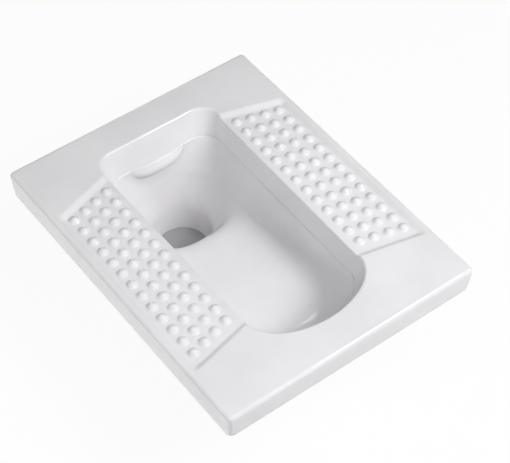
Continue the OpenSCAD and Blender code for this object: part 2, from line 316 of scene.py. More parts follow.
@dataclass(frozen=True)
class Glaze(Finish):
    """Opaque white tin-type glaze on vitreous china, sprayed and fired.

    To the eye: a cool white with a wet gloss, very slightly wavy where the sprayed glaze has flowed,
    with faint cloudy drifts of tone and a few pin-sized specks.
    """

    name: str = "fired_white_glaze"
    colour: str = "EFEEF0"
    tint: str = "E8E7E9"
    roughness: float = 0.13
    ior: float = 1.52
    grains: tuple[Grain, ...] = (
        Grain(120.0, 3.0), Grain(26.0, 1.0, strength=0.1, height_mm=0.8),
        Grain(3.2, 2.0, strength=0.1, height_mm=0.12),
    )
    worn_roughness: float = 0.2
    drift_band: tuple[float, float] = (0.35, 0.65)
    gloss_band: tuple[float, float] = (0.3, 0.7)
    speck: str = "C9C4BC"
    speck_mm: float = 5.0
    speck_edge: tuple[float, float] = (0.03, 0.06)
    speckless: float = 0.93

    def look(self, tree: NodeTree, place: NodeSocket, tone: NodeSocket) -> dict[str, NodeSocket | float]:
        """Adds the drifts of tone, the specks, and a gloss that follows the drifts.

        Args:
            tree: The material's node tree.
            place: The object coordinates.
            tone: The cloudy noise.

        Returns:
            The shader's inputs for colour and roughness.
        """
        specks = add_node(
            tree, "ShaderNodeTexVoronoi", {"Vector": place, "Scale": 1 / (self.speck_mm * MM), "Randomness": 1.0},
        )
        drift, sheen, dot = (
            add_node(
                tree, "ShaderNodeMapRange",
                {"Value": source, "From Min": low, "From Max": high, "To Min": start, "To Max": end},
            ).outputs["Result"]
            for source, (low, high), (start, end) in (
                (tone, self.drift_band, (0.0, 1.0)),
                (tone, self.gloss_band, (self.roughness, self.worn_roughness)),
                (specks.outputs["Distance"], self.speck_edge, (1.0, 0.0)),
            )
        )
        few = add_node(
            tree, "ShaderNodeMath", {0: specks.outputs["Color"], 1: self.speckless}, operation="GREATER_THAN",
        )
        dots = add_node(tree, "ShaderNodeMath", {0: dot, 1: few.outputs["Value"]}, operation="MULTIPLY")
        colour = linear(self.colour)
        for share, other in ((drift, self.tint), (dots.outputs["Value"], self.speck)):
            colour = add_node(
                tree, "ShaderNodeMix", {MIX_SHARE: share, MIX_A: colour, MIX_B: linear(other)}, data_type="RGBA",
            ).outputs[MIX_OUT]
        return {"Base Color": colour, "Roughness": sheen}


@dataclass(frozen=True)
class Bisque(Finish):
    """Bare fired china body, slip-cast and sponged, left without glaze on the underside.

    To the eye: a matt, warm off-white with soft sponge marks and fine grit.
    """

    name: str = "bare_fired_china"
    colour: str = "E3DDD2"
    tint: str = "CFC6B8"
    roughness: float = 0.78
    ior: float = 1.5
    grains: tuple[Grain, ...] = (Grain(14.0, 5.0, 0.6, 0.35, 0.6), Grain(1.1, 2.0, strength=0.4, height_mm=0.15))


@dataclass(frozen=True)
class SealRubber(Finish):
    """Black EPDM rubber, moulded in a fine-blasted tool.

    To the eye: a deep grey-black with a dull sheen, bloomed paler in soft patches.
    """

    name: str = "moulded_epdm_rubber"
    colour: str = "1C1C1E"
    tint: str = "3A3A3C"
    roughness: float = 0.55
    ior: float = 1.52
    grains: tuple[Grain, ...] = (Grain(18.0, 3.0), Grain(0.8, 1.0, strength=0.3, height_mm=0.05))


# ---- The mouth, and the sections of every wall ----


@dataclass(frozen=True)
class Plan:
    """Where the mouth, the outlet and the inlet lie, worked out from the CAD deck's box."""

    half_w: float
    half_l: float
    top: float
    skirt_foot: float
    mouth_half: float = 104.0
    back_gap: float = 56.5
    front_gap: float = 55.5
    plate_t: float = 12.0
    outlet_back_in: float = 77.0
    inlet_z: float = 153.0
    inlet_end: float = 268.0

    @property
    def back(self) -> float:
        """Y of the back of the mouth."""
        return self.half_l - self.back_gap

    @property
    def front(self) -> float:
        """Y of the front of the mouth."""
        return self.front_gap - self.half_l

    @property
    def outlet_y(self) -> float:
        """Y of the middle of the outlet."""
        return self.back - self.outlet_back_in

    @property
    def under(self) -> float:
        """Height of the deck plate's underside."""
        return self.top - self.plate_t

    @classmethod
    def from_frame(cls) -> "Plan":
        """Reads the deck's size from the CAD frame."""
        low, high = (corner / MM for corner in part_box("deck"))
        return cls(half_w=high.x, half_l=high.y, top=high.z, skirt_foot=low.z)


PLAN = Plan.from_frame()
MIRROR, TURNS = 5, 6  # station MIRROR - t mirrors station t, and after TURNS the stations start again
# Stations round an outline, as turns from 0 to 6. Each side has 48 steps, a corner and the back 20, the nose 80.
RING = [part + i / count for part, count in enumerate((48, 20, 20, 20, 48, 80)) for i in range(count)]


@dataclass(frozen=True)
class Section:
    """A level outline of the mouth or the bowl: two straight sides, two back corners, a rounded nose.

    All insets are measured inwards from the mouth. The nose is an ellipse where square is 2, and squarer
    where it is more.
    """

    depth: float
    side: float
    nose_side: float
    back: float
    front: float
    corner: float
    nose: float
    square: float = 2.0

    def mix(self, other: "Section", t: float) -> "Section":
        """Returns the section a share t of the way to another."""
        return Section(*(mix_number(a, b, t) for a, b in zip(vars(self).values(), vars(other).values())))

    def grow(self, wall: float, drop: float = 0.0) -> "Section":
        """Moves the section out by a wall.

        Args:
            wall: The wall's thickness.
            drop: How much lower the new section lies.

        Returns:
            The new section.
        """
        return Section(
            self.depth + drop, self.side - wall, self.nose_side - wall, self.back - wall, self.front - wall,
            self.corner + wall, self.nose + wall, self.square,
        )

    def at(self, turn: float) -> Vector:
        """Returns a point of the outline.

        Args:
            turn: From 0 to 6, counterclockwise from the front of the right side: the right side, the right
                corner, the back, the left corner, the left side and the nose take 1 each.

        Returns:
            The point.
        """
        half, nose_half = PLAN.mouth_half - self.side, PLAN.mouth_half - self.nose_side
        back, nose_y = PLAN.back - self.back, PLAN.front + self.front + self.nose
        mid = half - self.corner
        part, t = divmod(turn % TURNS, 1)
        if part == 0:
            x, y = mix_number(nose_half, half, t), mix_number(nose_y, back - self.corner, t)
        elif part == 2:
            x, y = mix_number(mid, -mid, t), back
        elif part == 4:
            x, y = mix_number(-half, -nose_half, t), mix_number(back - self.corner, nose_y, t)
        elif part == 5:
            across, ahead = -math.cos(math.pi * t), math.sin(math.pi * t)
            power = 2 / self.square
            x = nose_half * math.copysign(abs(across) ** power, across)
            y = nose_y - self.nose * max(ahead, 0.0) ** power
        else:
            angle = QUARTER * (t + (part == 3))
            x = math.copysign(mid, 2 - part) + self.corner * math.cos(angle)
            y = back - self.corner + self.corner * math.sin(angle)
        return Vector((x, y, PLAN.top - self.depth))


@dataclass(frozen=True)
class Corner:
    """A control section that a wall bends at, and how softly: shares of the stretches before and after it."""

    section: Section
    before: float = 0.5
    after: float = 0.5
    steps: int = 8


def rounded_run(corners: Sequence[Corner], straight_steps: int = 3) -> list[Section]:
    """Lays sections along a run of control sections, bending softly at each.

    Args:
        corners: The control sections. The bends at the two ends are left out.
        straight_steps: Steps along each straight stretch that is left.

    Returns:
        The sections, from the first to the last.
    """
    run = [corners[0].section]
    for i, (here, nxt) in enumerate(zip(corners, corners[1:])):
        last = i + 2 == len(corners)
        leave = here.after if i else 0.0
        reach = 1.0 if last else 1 - nxt.before
        if reach - leave > NO_STRETCH:
            shares = (mix_number(leave, reach, step / straight_steps) for step in range(1, straight_steps + 1))
            run += [here.section.mix(nxt.section, share) for share in shares]
        if last:
            break
        start = here.section.mix(nxt.section, 1 - nxt.before)
        end = nxt.section.mix(corners[i + 2].section, nxt.after)
        for share in (step / nxt.steps for step in range(1, nxt.steps + 1)):
            run.append(start.mix(nxt.section, share).mix(nxt.section.mix(end, share), share))
    return run


def skin_tube(bm: BMesh, run: Sequence[Section]) -> None:
    """Skins a closed tube of wall.

    Args:
        bm: The mesh that gets the skin.
        run: The sections, down one face of the wall and up the other.
    """
    rows = [[section.at(turn) for turn in RING] for section in run]
    strip = Strip(bm, rows[0])
    for row in rows[1:] + rows[:1]:
        strip.extrude(row)
    bmesh.ops.remove_doubles(bm, verts=bm.verts, dist=WELD)


@dataclass(frozen=True)
class WallSections:
    """The control sections of the mouth, the rim, the rim box and the bowl."""

    mouth: Section = Section(0, 0, 4, 0, 0, 30, 62)
    rim_foot: Section = Section(42, 7, 11, 16, 19, 30, 48)
    box_top: Section = Section(12, -20, -20, -24, -21, 50, 80)
    box_low: Section = Section(42.3, -20, -20, -24, -21, 50, 80)
    shoulder: Section = Section(42.4, 7.6, 11.6, 16.6, 19.6, 31, 49)
    wall_top: Section = Section(60, 12, 13, 18, 26, 46, 76)
    seam: Section = Section(89, 22, 16, 20, 56, 62, 114)
    tray_front: Section = Section(95, 25, 26, 21, 92, 62, 118, 2.2)
    lip: Section = Section(106, 30, 31, 22.5, 293, 60, 49, 3.0)
    shell_t: float = 8.0
    bowl_t: float = 9.0
    land_back: float = 8.0
    land_front: float = 15.0
    channel_floor_t: float = 4.0
    rim_t: float = 8.0
    seam_depth: float = 85.0
    funnel_depth: float = 158.0
    throat_r: float = 46.5
    throat_ease_h: float = 14.0
    throat_ease_r: float = 2.0
    round_flat: float = 0.5
    spigot_r: float = 50.0

    def rim(self, depth: float) -> Section:
        """Returns the mouth's leaning wall at a depth."""
        return self.mouth.mix(self.rim_foot, depth / self.rim_foot.depth)

    def round(self, depth: float, radius: float) -> Section:
        """Lays a round section over the outlet.

        Args:
            depth: How deep it lies.
            radius: Its radius.

        Returns:
            The section.
        """
        side, bend = PLAN.mouth_half - radius, radius - self.round_flat
        back, front = PLAN.back - PLAN.outlet_y - radius, PLAN.outlet_y - radius - PLAN.front
        return Section(depth, side, side, back, front, bend, bend)

    def seam_outer(self, depth: float) -> Section:
        """Returns the outer edge of the seam at a depth, with its wider land at both ends."""
        grown = self.seam.grow(self.bowl_t)
        return replace(grown, depth=depth, back=grown.back - self.land_back, front=grown.front - self.land_front)

    def inside(self) -> tuple[list[Section], list[Section]]:
        """Lays the inner skin from under the deck to the outlet.

        Returns:
            The sections of the rim box, and those of the bowl, which start with the box's last.
        """
        throat = self.round(self.funnel_depth - self.throat_ease_h, self.throat_r + self.throat_ease_r)
        run = rounded_run([
            Corner(self.box_top), Corner(self.box_low, 0.25, 0.3), Corner(self.shoulder, 0.04, 0.15),
            Corner(self.wall_top, 0.6, 0.5, 12), Corner(self.seam, 0.4, 0.6, 24),
            Corner(self.tray_front, 0.4, 0.3, 16), Corner(self.lip, 0.16, 0.4, 24), Corner(throat, 0.6, 0.9, 24),
            Corner(self.round(self.funnel_depth, self.throat_r)),
        ], straight_steps=6)
        split = min(range(len(run)), key=lambda i: abs(run[i].depth - self.seam_depth))
        return run[:split + 1], run[split:]


WALLS = WallSections()


@dataclass(frozen=True)
class MouthEdge:
    """The rounded edge of the mouth, and the leaning wall under it down to the plate's underside."""

    reach: float = 3.2
    tread_reach: float = 1.3
    full_drop: float = 4.2
    flat: float = 1.0
    steps: int = 6
    wall_rows: int = 3
    probe: float = 1e-3

    @property
    def rows(self) -> int:
        """How many points the profile has."""
        return self.steps + 2 + self.wall_rows

    def outward(self, turn: float, depth: float) -> Vector:
        """Finds the level direction away from the mouth.

        Args:
            turn: The station.
            depth: How deep below the deck.

        Returns:
            The direction, with a length of 1.
        """
        section = WALLS.rim(depth)
        along = section.at(turn + self.probe) - section.at(turn - self.probe)
        return Vector((along.y, -along.x, 0)).normalized()

    def points(self, turn: float, drop: float) -> list[Vector]:
        """Lays the edge's profile at one station.

        Args:
            turn: The station.
            drop: How far the surface there lies below the deck.

        Returns:
            The points from the flat surface, over the edge, down to the underside of the plate.
        """
        out = self.outward(turn, drop)
        corner = WALLS.rim(drop).at(turn)
        reach = mix_number(self.reach, self.tread_reach, min(drop / self.full_drop, 1))
        start = corner + out * reach
        low, foot = WALLS.rim(drop + reach), WALLS.rim(PLAN.plate_t)
        rows = [start + out * self.flat, *curve_points(start, corner, low.at(turn), self.steps)]
        return rows + [low.mix(foot, i / self.wall_rows).at(turn) for i in range(1, self.wall_rows + 1)]


EDGE = MouthEdge()


@dataclass(frozen=True)
class TreadPlan:
    """Outline, slopes and studs of the right tread. The left one mirrors it."""

    sink: float = 4.2
    outer: float = 197.0
    slope_w: float = 8.0
    back_slope_w: float = 9.5
    step_w: float = 7.0
    margin: float = 2.0
    back_in: float = 40.0
    back_slant: float = 28.0
    front_slant: float = 20.9
    nose_l: float = 64.5
    stud_r: float = 9.3
    stud_h: float = 5.7
    stud_power: float = 2.6
    cols: int = 4
    rows: int = 13
    stud_in: float = 15.0
    stud_out: float = 11.0
    stud_back: float = 13.0
    stud_front: float = 22.2
    stud_slant: float = 25.5
    soft: float = 0.17
    step_soft: float = 0.3
    search_from: float = -0.2
    search_to: float = 1.9
    search_steps: int = 36

    @property
    def width(self) -> float:
        """Width of the tread, from the mouth to its outer edge."""
        return self.outer - PLAN.mouth_half

    def back_edge(self, x: float) -> float:
        """Returns the y of the tread's back edge."""
        return PLAN.back - self.back_in - self.back_slant / self.width * (x - PLAN.mouth_half)

    def front_edge(self, x: float) -> float:
        """Returns the y of the tread's front edge."""
        return PLAN.front + self.nose_l - self.front_slant / self.width * (x - PLAN.mouth_half)

    def rim_point(self, share: float) -> Vector:
        """Returns where a row ends, just past the outer slope, from share 0 at the front to 1 at the back."""
        x = self.outer + self.slope_w + self.margin
        return Vector((x, self.row_y(x, share), PLAN.top))

    def row_y(self, x: float, share: float) -> float:
        """Finds how far back a row of the tread piece lies.

        Args:
            x: Where across the pan.
            share: The row, from 0 at the front to 1 at the back.

        Returns:
            Its y.
        """
        front = self.front_edge(x) - self.step_w - self.margin
        back = self.back_edge(x) + self.back_slope_w + self.margin
        return mix_number(front, back, share)

    def turn_at(self, share: float) -> float:
        """Finds the station of the mouth's edge that a row starts from.

        Args:
            share: The row, from 0 at the front to 1 at the back.

        Returns:
            The station.
        """
        low, high = self.search_from, self.search_to
        for _ in range(self.search_steps):
            mid = (low + high) / 2
            start = EDGE.points(mid, 0.0)[0]
            if start.y < self.row_y(start.x, share):
                low = mid
            else:
                high = mid
        return (low + high) / 2

    def drop(self, x: float, y: float) -> float:
        """Finds how far the plain tread lies below the deck.

        Args:
            x: Where across the pan.
            y: Where along it.

        Returns:
            The drop.
        """
        back = soft_ramp((y - self.back_edge(x)) / self.back_slope_w, self.soft)
        out = soft_ramp((x - self.outer) / self.slope_w, self.soft)
        front = soft_ramp((self.front_edge(x) - y) / self.step_w, self.step_soft)
        return self.sink * (1 - back) * (1 - out) * (1 - front)

    def stud(self, x: float, y: float) -> float:
        """Finds how high the nearest stud stands over the plain tread.

        Args:
            x: Where across the pan.
            y: Where along it.

        Returns:
            The height there, which is 0 between the studs.
        """
        first_x = PLAN.mouth_half + self.stud_in
        pitch_x = (self.outer - self.stud_out - first_x) / (self.cols - 1)
        first_y = self.back_edge(first_x) - self.stud_back
        pitch_y = (first_y - self.front_edge(first_x) - self.stud_front) / (self.rows - 1)
        fall = pitch_x * self.stud_slant / self.width
        col = min(max(round((x - first_x) / pitch_x), 0), self.cols - 1)
        row = min(max(round((first_y - col * fall - y) / pitch_y), 0), self.rows - 1)
        away = math.hypot(x - first_x - col * pitch_x, y - first_y + col * fall + row * pitch_y)
        return self.stud_h * max(1 - (away / self.stud_r) ** self.stud_power, 0.0) ** 2


TREAD = TreadPlan()


# ---- Pieces ----


@dataclass
class Piece:
    """A piece of the pan that is modelled here and stands for one CAD node."""

    side: int = 0
    kind: str = ""
    slot: Slot = Slot.GLAZED
    sharp_deg: float = 40.0
    bm: BMesh = field(init=False, repr=False)

    @property
    def node(self) -> str:
        """The CAD node: the kind of piece, with the side before it where the piece has a twin."""
        return ("", "right_", "left_")[self.side] + self.kind

    def shape(self) -> None:
        """Models the piece in its empty mesh."""
        raise NotImplementedError

    def build(self, finishes: Finishes) -> None:
        """Makes the piece's object, dresses it and hands it to the frame.

        Args:
            finishes: The pan's materials.
        """
        bm = self.bm = bmesh.new()
        self.shape()
        bmesh.ops.remove_doubles(bm, verts=bm.verts, dist=WELD)
        bmesh.ops.recalc_face_normals(bm, faces=bm.faces)
        for face in bm.faces:
            face.smooth = True
        mesh = bpy.data.meshes.new(f"{self.node}_china")
        self.dress(mesh, finishes)
        bm.to_mesh(mesh)
        bm.free()
        mesh.set_sharp_from_angle(angle=math.radians(self.sharp_deg))
        obj = add_object(f"{self.node}_form", mesh)
        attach(obj, ROOT)
        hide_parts(self.node)
        log.info("%s: %d faces", obj.name, len(mesh.polygons))

    def dress(self, mesh: Mesh, finishes: Finishes) -> None:
        """Gives the mesh the piece's own finish."""
        mesh.materials.append(finishes[self.slot])


def along_inlet(y: float) -> Matrix:
    """Returns the move that stands an upright piece on the inlet's axis, with its foot at y."""
    return at(0, y, PLAN.inlet_z) @ Matrix.Rotation(-QUARTER, 4, "X")


def bore_inlet(bm: BMesh, radius: float, start_y: float, end_y: float) -> None:
    """Bores a closed mesh along the axis of the inlet.

    Args:
        bm: The mesh to bore.
        radius: The bore's radius.
        start_y: Y of the bore's front end.
        end_y: Y of its back end.
    """
    bmesh.ops.recalc_face_normals(bm, faces=bm.faces)
    tool = bmesh.new()
    bmesh.ops.create_cone(
        tool, cap_ends=True, segments=BORE_STEPS, radius1=radius * MM, radius2=radius * MM,
        depth=(end_y - start_y) * MM, matrix=along_inlet((start_y + end_y) / 2),
    )
    body, cutter = (add_object(name, bpy.data.meshes.new(name)) for name in ("bore_body", "bore_tool"))
    bm.to_mesh(body.data)
    tool.to_mesh(cutter.data)
    tool.free()
    bore = body.modifiers.new("bore", "BOOLEAN")
    bore.operation, bore.solver, bore.object = "DIFFERENCE", "EXACT", cutter
    bm.clear()
    bm.from_object(body, bpy.context.evaluated_depsgraph_get())
    for obj in (body, cutter):
        mesh = obj.data
        bpy.data.objects.remove(obj)
        bpy.data.meshes.remove(mesh)


@dataclass
class Deck(Piece):
    """Deck plate with its skirt, and with a pocket for each tread and its slopes."""

    kind: str = "deck"
    edge_r: float = 6.0
    edge_steps: int = 8
    corner_r: float = 6.6
    corner_least_r: float = 0.8
    corner_foot_r: float = 10.0
    corner_steps: int = 10
    flat: float = 1.0
    skirt_t: float = 9.0
    skirt_steps: int = 4
    taper: float = 2.0
    foot_r: float = 2.0
    foot_steps: int = 3
    inner_draft: float = 2.0
    inner_fillet: float = 5.0
    fillet_ease: float = 0.4
    fillet_steps: int = 5
    arch_r: float = 33.5
    arch_in: float = 3.0
    arch_out: float = 5.0
    bare_in: float = 1.0
    bare_slack: float = 0.01

    def plan_ring(self, inset: float, corner_r: float, z: float) -> list[Vector]:
        """Lays a rounded rectangle.

        Args:
            inset: How far it lies inside the deck's outline.
            corner_r: Its corner radius.
            z: Its height.

        Returns:
            Its points, counterclockwise.
        """
        points = []
        for quarter, (sx, sy) in enumerate(((1, 1), (-1, 1), (-1, -1), (1, -1))):
            middle = sx * (PLAN.half_w - inset - corner_r), sy * (PLAN.half_l - inset - corner_r)
            points += [Vector((*place, z)) for place in arc(*middle, corner_r, quarter, self.corner_steps)]
        return points

    def outer_rows(self) -> list[list[Vector]]:
        """Lays the outside of the deck.

        Returns:
            Its rows, from the flat top round the skirt to the plate's underside.
        """
        top, foot, under = PLAN.top, PLAN.skirt_foot, PLAN.under
        skirt_top, inner = top - self.edge_r, self.skirt_t + self.inner_draft
        rows = [(self.edge_r + self.flat, top), *arc(self.edge_r, skirt_top, self.edge_r, 1, self.edge_steps)]
        for i in range(1, self.skirt_steps + 1):
            share = i / self.skirt_steps
            rows.append((self.taper * share, mix_number(skirt_top, foot + self.foot_r, share)))
        rows += arc(self.taper + self.foot_r, foot + self.foot_r, self.foot_r, 2, self.foot_steps)[1:]
        rows += [(self.skirt_t - self.foot_r / 2, foot), (self.skirt_t, foot + self.foot_r / 2)]
        fillet = curve_points(
            Vector((inner - self.fillet_ease, under - self.inner_fillet)), Vector((inner, under)),
            Vector((inner + self.inner_fillet, under)), self.fillet_steps,
        )
        out = []
        for inset, z in rows + [(p.x, p.y) for p in fillet]:
            radius = max(self.corner_r - inset, self.corner_least_r)
            if z < skirt_top:
                radius = max(radius, self.corner_foot_r * min((top - z) / (top - foot), 1))
            out.append(self.plan_ring(inset, radius, z))
        return out

    def inner_rows(self) -> list[list[Vector]]:
        """Lays the edge of the mouth and the sides of the two pockets.

        Returns:
            Their rows, from the top to the underside.
        """
        back_turn, front_turn = TREAD.turn_at(1.0), TREAD.turn_at(0.0)
        left_back, left_front, right_front = MIRROR - back_turn, MIRROR - front_turn, TURNS + front_turn
        back = [back_turn, *(t for t in RING if back_turn < t < left_back), left_back]
        nose = [left_front, *(t for t in RING if left_front < t < right_front), right_front]
        columns = [EDGE.points(turn, 0.0) for turn in back]
        for side, shares, stations in ((-1, (1.0, 0.0), nose), (1, (0.0, 1.0), [])):
            for share in shares:
                x, y, z = TREAD.rim_point(share)
                heights = (mix_number(z, PLAN.under, i / (EDGE.rows - 1)) for i in range(EDGE.rows))
                columns.append([Vector((side * x, y, height)) for height in heights])
            columns += [EDGE.points(turn, 0.0) for turn in stations]
        return [list(row) for row in zip(*columns)]

    def shape(self) -> None:
        """Models the deck and opens the arch for the flush pipe in its skirt."""
        outer, inner = self.outer_rows(), self.inner_rows()
        strips = Strip(self.bm, outer[0]), Strip(self.bm, inner[0])
        bmesh.ops.triangle_fill(self.bm, use_beauty=True, edges=strips[0].edges + strips[1].edges)
        for strip, rows in zip(strips, (outer, inner)):
            for row in rows[1:]:
                strip.extrude(row)
        bmesh.ops.triangle_fill(self.bm, use_beauty=True, edges=strips[0].edges + strips[1].edges)
        bore_inlet(self.bm, self.arch_r, PLAN.half_l - self.skirt_t - self.arch_in, PLAN.half_l + self.arch_out)

    def dress(self, mesh: Mesh, finishes: Finishes) -> None:
        """Glazes the outside and leaves the underside bare.

        Args:
            mesh: The mesh that gets both materials.
            finishes: The pan's materials.
        """
        for slot in (Slot.GLAZED, Slot.BARE):
            mesh.materials.append(finishes[slot])
        glaze_end = (PLAN.skirt_foot + self.foot_r / 2) * MM
        edge_in = self.skirt_t - self.bare_in
        half_x, half_y = (PLAN.half_w - edge_in) * MM, (PLAN.half_l - edge_in) * MM
        for face in self.bm.faces:
            middle = face.calc_center_median()
            inside = abs(middle.x) < half_x and abs(middle.y) < half_y
            under = inside and middle.z < (PLAN.under + self.bare_slack) * MM
            face.material_index = int(under or middle.z < glaze_end)


@dataclass
class Tread(Piece):
    """A sunken footrest with its rows of studs and the slopes up to the deck."""

    kind: str = "tread"
    across: int = 96
    along: int = 344

    def row(self, share: float) -> list[Vector]:
        """Lays one row, from under the mouth's edge to just past the outer slope.

        Args:
            share: The row, from 0 at the front to 1 at the back.

        Returns:
            Its points on the right tread.
        """
        turn = TREAD.turn_at(share)
        level = EDGE.points(turn, 0.0)[0]
        points = EDGE.points(turn, TREAD.drop(level.x, level.y))[::-1]
        start, end = points[-1], TREAD.rim_point(share)
        for i in range(1, self.across + 1):
            place = start.lerp(end, i / self.across)
            place.z = PLAN.top - TREAD.drop(place.x, place.y) + TREAD.stud(place.x, place.y)
            points.append(place)
        return points

    def shape(self) -> None:
        """Models the tread as a grid laid on its rows, with sides and a flat underside."""
        counts = EDGE.rows + self.across, self.along
        bmesh.ops.create_grid(self.bm, x_segments=counts[0] - 1, y_segments=counts[1] - 1, size=1.0)
        rows = [self.row(i / (self.along - 1)) for i in range(self.along)]
        # The flat grid runs from -1 to 1 both ways, so a vertex's place tells its column and its row.
        for vert in self.bm.verts:
            col, row = (round((place + 1) / 2 * (count - 1)) for place, count in zip(vert.co, counts))
            point = rows[row][col]
            vert.co = Vector((point.x * self.side, point.y, point.z)) * MM
        rim = [edge for edge in self.bm.edges if edge.is_boundary]
        for vert in bmesh.ops.extrude_edge_only(self.bm, edges=rim)["geom"]:
            if isinstance(vert, BMVert):
                vert.co.z = PLAN.under * MM
        bmesh.ops.remove_doubles(self.bm, verts=self.bm.verts, dist=WELD)
        foot = [edge for edge in self.bm.edges if edge.is_boundary]
        bmesh.ops.triangle_fill(self.bm, use_beauty=True, edges=foot)


@dataclass
class RimWall(Piece):
    """The leaning band round the mouth that hides the flush channel."""

    kind: str = "rim_wall"
    lip: float = 0.5

    def shape(self) -> None:
        """Models the band with its rounded lower lip."""
        head, foot = WALLS.rim(PLAN.plate_t), WALLS.rim_foot
        along, across = self.lip / (foot.depth - head.depth), self.lip / WALLS.rim_t
        skin_tube(self.bm, rounded_run([
            Corner(head), Corner(foot, along, across), Corner(foot.grow(WALLS.rim_t), across, along),
            Corner(head.grow(WALLS.rim_t)),
        ], straight_steps=5))


@dataclass
class RimBox(Piece):
    """The outer wall of the flush channel and the upper wall of the bowl."""

    kind: str = "rim_box"
    bore_r: float = 22.0
    bore_from_y: float = 214.0

    def shape(self) -> None:
        """Models the box and bores its back for the inlet."""
        inner, _ = WALLS.inside()
        outer = rounded_run([
            Corner(WALLS.box_top.grow(WALLS.shell_t)),
            Corner(WALLS.box_low.grow(WALLS.shell_t, WALLS.channel_floor_t), 0.2, 0.3),
            Corner(WALLS.wall_top.grow(WALLS.shell_t, WALLS.shell_t)), Corner(WALLS.seam_outer(WALLS.seam.depth)),
        ])
        outer[-1] = WALLS.seam_outer(inner[-1].depth)
        skin_tube(self.bm, inner + outer[::-1])
        bore_inlet(self.bm, self.bore_r, self.bore_from_y, PLAN.half_l)


@dataclass
class Bowl(Piece):
    """The sloping tray and the funnel to the outlet."""

    kind: str = "bowl"

    def shape(self) -> None:
        """Models the bowl's wall."""
        _, inner = WALLS.inside()
        outer = rounded_run([
            Corner(WALLS.seam_outer(inner[0].depth)),
            Corner(WALLS.tray_front.grow(WALLS.bowl_t, WALLS.shell_t), 0.3, 0.2),
            Corner(WALLS.lip.grow(WALLS.bowl_t, WALLS.shell_t), 0.1, 0.4),
            Corner(WALLS.round(WALLS.funnel_depth, WALLS.spigot_r)),
        ], straight_steps=6)
        skin_tube(self.bm, inner + outer[::-1])


@dataclass
class Spreader(Piece):
    """Swelling under the back of the rim that fans the flush water out, fading into the wall at its ends."""

    kind: str = "spreader"
    half_w: float = 47.0
    front_y: float = 187.0
    back_y: float = 203.0
    bow: float = 11.0
    lip_top: float = 158.0
    nose_z: float = 148.0
    foot: float = 124.0
    foot_lift: float = 14.0
    fade: float = 3.0
    lip_share: float = 0.5
    swell_share: float = 0.35
    swell_back: float = 1.0
    root_share: float = 0.8
    steps: int = 48
    corner_steps: int = 6

    def profile(self, share: float) -> list[Vector]:
        """Lays the swelling's cross-section.

        Args:
            share: Where across the pan, from -1 at the left end to 1 at the right.

        Returns:
            The closed profile's points.
        """
        thin = abs(share) ** self.fade
        front, foot = self.front_y + self.bow * thin, self.foot + self.foot_lift * thin
        lip_y, root_y = (mix_number(front, self.back_y, t) for t in (self.lip_share, self.root_share))
        swell_y, swell_z = front + self.swell_back, mix_number(self.nose_z, foot, self.swell_share)
        points = round_profile([
            (self.back_y, foot, 0.0), (self.back_y, self.lip_top, 0.0), (lip_y, self.lip_top, 1.5),
            (front, self.nose_z, 4.5), (swell_y, swell_z, 3.5), (root_y, foot, 1.5),
        ], self.corner_steps)
        return [Vector((self.half_w * share, y, z)) for y, z in points]

    def shape(self) -> None:
        """Models the swelling as one profile run across the pan."""
        rows = [self.profile(2 * i / self.steps - 1) for i in range(self.steps + 1)]
        strip = Strip(self.bm, rows[0])
        bmesh.ops.contextual_create(self.bm, geom=strip.edges)
        for row in rows[1:]:
            strip.extrude(row)
        bmesh.ops.contextual_create(self.bm, geom=strip.edges)


@dataclass
class Spun(Piece):
    """A turned piece: a closed profile spun round the Z axis, then laid in its place."""

    spin_steps: int = 96
    corner_steps: int = 4
    foot_z: float = 0.0

    @property
    def profile(self) -> Profile:
        """The profile's corners, across from the axis and up from the foot."""
        raise NotImplementedError

    @property
    def place(self) -> Matrix:
        """The move that lays the spun solid in its place, under the funnel if nothing else is said."""
        return at(0, PLAN.outlet_y, self.foot_z)

    def shape(self) -> None:
        """Spins the profile and lays the solid in its place."""
        strip = Strip(self.bm, [Vector((r, 0, h)) for r, h in round_profile(self.profile, self.corner_steps)])
        bmesh.ops.spin(
            self.bm, geom=strip.verts + strip.edges, cent=(0, 0, 0), axis=(0, 0, 1), angle=math.tau,
            steps=self.spin_steps, use_merge=True, use_duplicate=False,
        )
        bmesh.ops.transform(self.bm, matrix=self.place, verts=self.bm.verts)


@dataclass
class OutletSpigot(Spun):
    """Round spigot under the funnel, with a bead at its root and a seat for its ring."""

    kind: str = "outlet_spigot"
    spin_steps: int = 128
    bore_r: float = 42.0
    height: float = 42.0
    bead_h: float = 5.0
    bead_t: float = 2.5
    seat_t: float = 1.0
    seat_from: float = 17.0

    @property
    def profile(self) -> Profile:
        """The profile's corners."""
        outer_r = WALLS.spigot_r
        seat_r, bead_r, bead_foot = outer_r - self.seat_t, outer_r + self.bead_t, self.height - self.bead_h
        return [
            (self.bore_r, 0, 1.5), (outer_r, 0, 2.0), (outer_r, self.seat_from, 0.4), (seat_r, self.seat_from, 0.4),
            (seat_r, bead_foot, 0.8), (bead_r, bead_foot, 1.2), (bead_r, self.height, 1.2),
            (WALLS.throat_r, self.height, 0),
        ]


@dataclass
class InletPiece(Spun):
    """A turned piece on the inlet's axis, with the length that it has in front of the horn's end."""

    length: float = 25.0

    @property
    def place(self) -> Matrix:
        """The move to the horn."""
        return along_inlet(PLAN.inlet_end - self.length)


@dataclass
class InletHorn(InletPiece):
    """Socket for the flush pipe at the back of the rim box."""

    kind: str = "inlet_horn"
    outer_r: float = 31.0
    bore_r: float = 22.0
    flare: float = 3.0
    flare_l: float = 6.0

    @property
    def profile(self) -> Profile:
        """The profile's corners."""
        return [
            (self.bore_r, 0, 0), (self.outer_r + self.flare, 0, 0), (self.outer_r, self.flare_l, 2.5),
            (self.outer_r, self.length, 2.0), (self.bore_r, self.length, 1.5),
        ]


